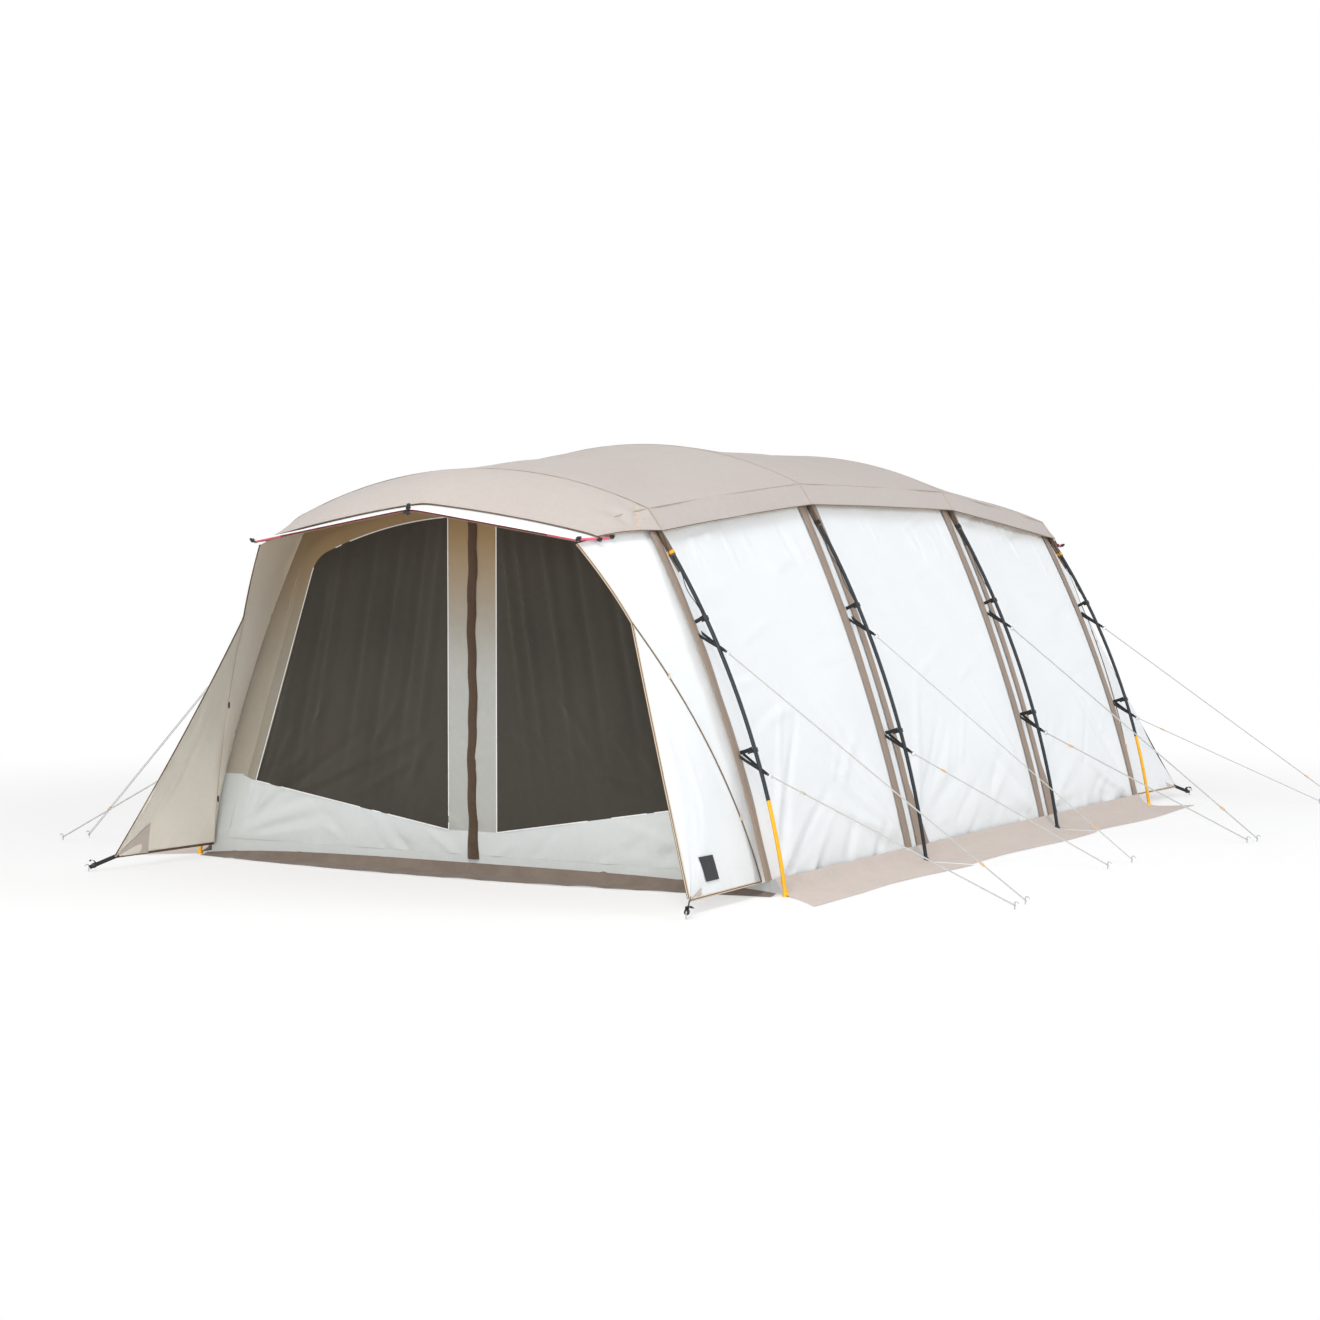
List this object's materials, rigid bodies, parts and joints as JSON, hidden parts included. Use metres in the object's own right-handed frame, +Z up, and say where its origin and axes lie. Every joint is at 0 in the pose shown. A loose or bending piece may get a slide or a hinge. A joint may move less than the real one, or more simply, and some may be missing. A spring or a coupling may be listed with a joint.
{
  "type": "tunnel tent",
  "caption": "Tunnel tent on outside hoop poles with a roof sheet, overhanging eaves, corner wings, mesh double doors, mud skirts and guy lines.",
  "frame": {"origin": "on the ground under the middle of the tent", "axes": "+Y along the tunnel to the rear end, +X to the right side seen from the front end, +Z up"},
  "size_m": [5.773, 6.6542, 2.1319],
  "materials": {
    "pole_black": "satin black anodised tube",
    "pole_orange": "satin orange-yellow anodised tube",
    "eave_pole_red": "satin dark red tube",
    "tip_pink": "matte pink-red moulding",
    "roof_cloth": "greige woven sheet",
    "wall_cloth": "white woven cloth with brown seams",
    "wing_cloth": "white woven cloth",
    "ceiling_cloth": "cream woven cloth",
    "end_cloth": "cream woven cloth",
    "door_mesh": "dark mesh with pale borders",
    "slider_metal": "black slider",
    "skirt_cloth": "greige coated cloth",
    "end_skirt_cloth": "brown coated cloth",
    "sleeve_cloth": "brown woven cloth",
    "clip_plastic": "black moulding",
    "webbing": "black webbing and elastic",
    "ring_metal": "plain wire ring",
    "guy_cord": "white braided cord",
    "peg_metal": "plain steel wire",
    "tensioner_plastic": "tan moulding"
  },
  "bodies": {
    "tent": {"hoop_1": "pole_black", "hoop_2": "pole_black", "hoop_3": "pole_black", "hoop_4": "pole_black", "end_legs": "pole_orange", "mid_legs": "pole_black", "eave_poles": "eave_pole_red", "eave_tips": "tip_pink", "roof_front": "roof_cloth", "roof_bay_1": "roof_cloth", "roof_bay_2": "roof_cloth", "roof_bay_3": "roof_cloth", "roof_rear": "roof_cloth", "wall_left_1": "wall_cloth", "wall_left_2": "wall_cloth", "wall_left_3": "wall_cloth", "wall_right_1": "wall_cloth", "wall_right_2": "wall_cloth", "wall_right_3": "wall_cloth", "ceiling": "ceiling_cloth", "wing_front_left": "wing_cloth", "wing_front_right": "wing_cloth", "wing_rear_left": "wing_cloth", "wing_rear_right": "wing_cloth", "eave_canopies": "wall_cloth", "front_wall": "end_cloth", "rear_wall": "end_cloth", "skirt_left": "skirt_cloth", "skirt_right": "skirt_cloth", "skirt_front": "end_skirt_cloth", "skirt_rear": "end_skirt_cloth", "pole_sleeves": "sleeve_cloth", "leg_clips": "clip_plastic", "roof_ties": "webbing", "guy_straps": "webbing", "guy_rings": "ring_metal", "guy_lines": "guy_cord", "pegs": "peg_metal"},
    "door_front_left": {"door_front_left": "door_mesh"},
    "door_front_right": {"door_front_right": "door_mesh"},
    "door_rear_left": {"door_rear_left": "door_mesh"},
    "door_rear_right": {"door_rear_right": "door_mesh"},
    "zip_slider_front": {"zip_slider_front": "slider_metal"},
    "zip_slider_rear": {"zip_slider_rear": "slider_metal"},
    "tensioner_right_1_upper": {"tensioner_right_1_upper": "tensioner_plastic"},
    "tensioner_right_1_lower": {"tensioner_right_1_lower": "tensioner_plastic"},
    "tensioner_right_2_upper": {"tensioner_right_2_upper": "tensioner_plastic"},
    "tensioner_right_2_lower": {"tensioner_right_2_lower": "tensioner_plastic"},
    "tensioner_right_3_upper": {"tensioner_right_3_upper": "tensioner_plastic"},
    "tensioner_right_3_lower": {"tensioner_right_3_lower": "tensioner_plastic"},
    "tensioner_right_4_upper": {"tensioner_right_4_upper": "tensioner_plastic"},
    "tensioner_right_4_lower": {"tensioner_right_4_lower": "tensioner_plastic"},
    "tensioner_left_1_upper": {"tensioner_left_1_upper": "tensioner_plastic"},
    "tensioner_left_1_lower": {"tensioner_left_1_lower": "tensioner_plastic"},
    "tensioner_left_2_upper": {"tensioner_left_2_upper": "tensioner_plastic"},
    "tensioner_left_2_lower": {"tensioner_left_2_lower": "tensioner_plastic"},
    "tensioner_left_3_upper": {"tensioner_left_3_upper": "tensioner_plastic"},
    "tensioner_left_3_lower": {"tensioner_left_3_lower": "tensioner_plastic"},
    "tensioner_left_4_upper": {"tensioner_left_4_upper": "tensioner_plastic"},
    "tensioner_left_4_lower": {"tensioner_left_4_lower": "tensioner_plastic"}
  },
  "joints": [
    {"name": "door_front_left_swing", "type": "hinge", "parent": "tent", "child": "door_front_left", "pos_m": [-1.552, -2.4446, 0], "axis": [0.3256, 0, 0.9455], "range_deg": [0, 50]},
    {"name": "door_front_right_swing", "type": "hinge", "parent": "tent", "child": "door_front_right", "pos_m": [1.552, -2.4446, 0], "axis": [0.3256, 0, -0.9455], "range_deg": [0, 50]},
    {"name": "zip_front_slide", "type": "slide", "parent": "tent", "child": "zip_slider_front", "axis": [0, 0, 1], "range_m": [0, 1.6]},
    {"name": "door_rear_left_swing", "type": "hinge", "parent": "tent", "child": "door_rear_left", "pos_m": [-1.552, 2.4446, 0], "axis": [-0.3256, 0, -0.9455], "range_deg": [0, 50]},
    {"name": "door_rear_right_swing", "type": "hinge", "parent": "tent", "child": "door_rear_right", "pos_m": [1.552, 2.4446, 0], "axis": [-0.3256, 0, 0.9455], "range_deg": [0, 50]},
    {"name": "zip_rear_slide", "type": "slide", "parent": "tent", "child": "zip_slider_rear", "axis": [0, 0, 1], "range_m": [0, 1.6]},
    {"name": "tensioner_right_1_upper_slide", "type": "slide", "parent": "tent", "child": "tensioner_right_1_upper", "axis": [0.7664, 0.1701, -0.6194], "range_m": [-0.5, 0.15]},
    {"name": "tensioner_right_1_lower_slide", "type": "slide", "parent": "tent", "child": "tensioner_right_1_lower", "axis": [0.9041, 0.0923, -0.4172], "range_m": [-0.1, 0.45]},
    {"name": "tensioner_right_2_upper_slide", "type": "slide", "parent": "tent", "child": "tensioner_right_2_upper", "axis": [0.7036, 0.2743, -0.6556], "range_m": [-0.5, 0.15]},
    {"name": "tensioner_right_2_lower_slide", "type": "slide", "parent": "tent", "child": "tensioner_right_2_lower", "axis": [0.8691, 0.1522, -0.4707], "range_m": [-0.1, 0.45]},
    {"name": "tensioner_right_3_upper_slide", "type": "slide", "parent": "tent", "child": "tensioner_right_3_upper", "axis": [0.7923, -0.0386, -0.6089], "range_m": [-0.5, 0.15]},
    {"name": "tensioner_right_3_lower_slide", "type": "slide", "parent": "tent", "child": "tensioner_right_3_lower", "axis": [0.911, -0.1201, -0.3944], "range_m": [-0.1, 0.45]},
    {"name": "tensioner_right_4_upper_slide", "type": "slide", "parent": "tent", "child": "tensioner_right_4_upper", "axis": [0.6679, 0.4608, -0.5844], "range_m": [-0.5, 0.15]},
    {"name": "tensioner_right_4_lower_slide", "type": "slide", "parent": "tent", "child": "tensioner_right_4_lower", "axis": [0.7412, 0.5308, -0.4109], "range_m": [-0.1, 0.45]},
    {"name": "tensioner_left_1_upper_slide", "type": "slide", "parent": "tent", "child": "tensioner_left_1_upper", "axis": [-0.7664, 0.1701, -0.6194], "range_m": [-0.5, 0.15]},
    {"name": "tensioner_left_1_lower_slide", "type": "slide", "parent": "tent", "child": "tensioner_left_1_lower", "axis": [-0.9041, 0.0923, -0.4172], "range_m": [-0.1, 0.45]},
    {"name": "tensioner_left_2_upper_slide", "type": "slide", "parent": "tent", "child": "tensioner_left_2_upper", "axis": [-0.7036, 0.2743, -0.6556], "range_m": [-0.5, 0.15]},
    {"name": "tensioner_left_2_lower_slide", "type": "slide", "parent": "tent", "child": "tensioner_left_2_lower", "axis": [-0.8691, 0.1522, -0.4707], "range_m": [-0.1, 0.45]},
    {"name": "tensioner_left_3_upper_slide", "type": "slide", "parent": "tent", "child": "tensioner_left_3_upper", "axis": [-0.7923, -0.0386, -0.6089], "range_m": [-0.5, 0.15]},
    {"name": "tensioner_left_3_lower_slide", "type": "slide", "parent": "tent", "child": "tensioner_left_3_lower", "axis": [-0.911, -0.1201, -0.3944], "range_m": [-0.1, 0.45]},
    {"name": "tensioner_left_4_upper_slide", "type": "slide", "parent": "tent", "child": "tensioner_left_4_upper", "axis": [-0.6679, 0.4608, -0.5844], "range_m": [-0.5, 0.15]},
    {"name": "tensioner_left_4_lower_slide", "type": "slide", "parent": "tent", "child": "tensioner_left_4_lower", "axis": [-0.7412, 0.5308, -0.4109], "range_m": [-0.1, 0.45]}
  ]
}
